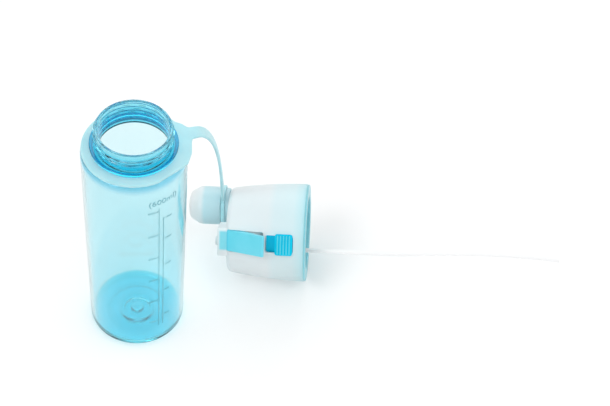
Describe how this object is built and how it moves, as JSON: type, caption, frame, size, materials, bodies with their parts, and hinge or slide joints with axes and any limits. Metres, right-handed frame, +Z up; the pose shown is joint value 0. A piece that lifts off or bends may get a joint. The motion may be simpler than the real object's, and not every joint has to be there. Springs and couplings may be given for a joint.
{
  "type": "sports squeeze bottle",
  "caption": "Clear wide-mouth sports bottle with its pump-spray lid unscrewed beside it: strap-held dust cap, drinking spout, trigger, lock slider and dip tube.",
  "frame": {"origin": "centre of the bottle's flat base, on the floor", "axes": "+Z up along the bottle's axis, +X towards the lid lying beside the bottle, +Y behind"},
  "size_m": [0.3669, 0.125, 0.209],
  "materials": {
    "bottle_clear": "clear tinted, glossy",
    "strap_silicone": "matte translucent silicone",
    "cap_frosted": "frosted translucent",
    "shell_frosted": "frosted translucent",
    "cap_inner": "satin cyan",
    "spout_cyan": "satin cyan",
    "seal_silicone": "matte silicone",
    "pump_plastic": "satin natural",
    "steel": "satin steel",
    "nozzle_frosted": "frosted",
    "trigger_cyan": "satin cyan",
    "lock_cyan": "satin deep cyan",
    "tube_clear": "natural translucent"
  },
  "bodies": {
    "bottle": {"bottle_body": "bottle_clear"},
    "collar": {"strap_collar": "strap_silicone"},
    "tether": {"strap_band": "strap_silicone", "strap_end_ring": "strap_silicone", "dust_cap": "cap_frosted"},
    "lid": {"outer_shell": "shell_frosted", "inner_cap": "cap_inner", "lid_gasket": "seal_silicone", "drink_spout": "spout_cyan", "spout_seal": "seal_silicone", "pump_body": "pump_plastic", "inlet_ball": "steel", "outlet_ball": "steel", "pump_gland": "pump_plastic", "return_spring": "steel", "spray_duct": "pump_plastic", "nozzle": "nozzle_frosted", "swirl_insert": "pump_plastic", "trigger_pin": "steel", "dip_tube": "tube_clear"},
    "piston": {"piston": "pump_plastic", "piston_ring": "seal_silicone"},
    "trigger": {"trigger_lever": "trigger_cyan"},
    "lock": {"lock_slider": "lock_cyan"}
  },
  "joints": [
    {"name": "collar_turn", "type": "hinge", "parent": "bottle", "child": "collar", "pos_m": [0, 0, 0.1892], "axis": [0, 0, 1], "continuous": true},
    {"name": "tether_swing", "type": "hinge", "parent": "collar", "child": "tether", "pos_m": [0.04261, 0.01509, 0.1892], "axis": [0.3338, -0.9426, 0], "range_deg": [0, 70]},
    {"name": "cap_pull", "type": "slide", "parent": "tether", "child": "lid", "axis": [0.9916, -0.1025, 0.0785], "range_m": [0, 0.026]},
    {"name": "trigger_press", "type": "hinge", "parent": "lid", "child": "trigger", "pos_m": [0.06538, 0.03059, 0.05084], "axis": [-0.005, 0.5771, 0.8166], "range_deg": [0, 9], "stiffness_Nm_per_rad": 1, "springref_deg": -5.73},
    {"name": "piston_slide", "type": "slide", "parent": "lid", "child": "piston", "axis": [0.129, 0.8102, -0.5718], "range_m": [0, 0.0037], "deforming": ["return_spring"]},
    {"name": "lock_slide", "type": "slide", "parent": "lid", "child": "lock", "axis": [-0.9916, 0.1025, -0.0785], "range_m": [0, 0.0048]}
  ],
  "couplings": [
    {"joint": "piston_slide", "follows": "trigger_press", "m_per_rad": 0.0232}
  ]
}
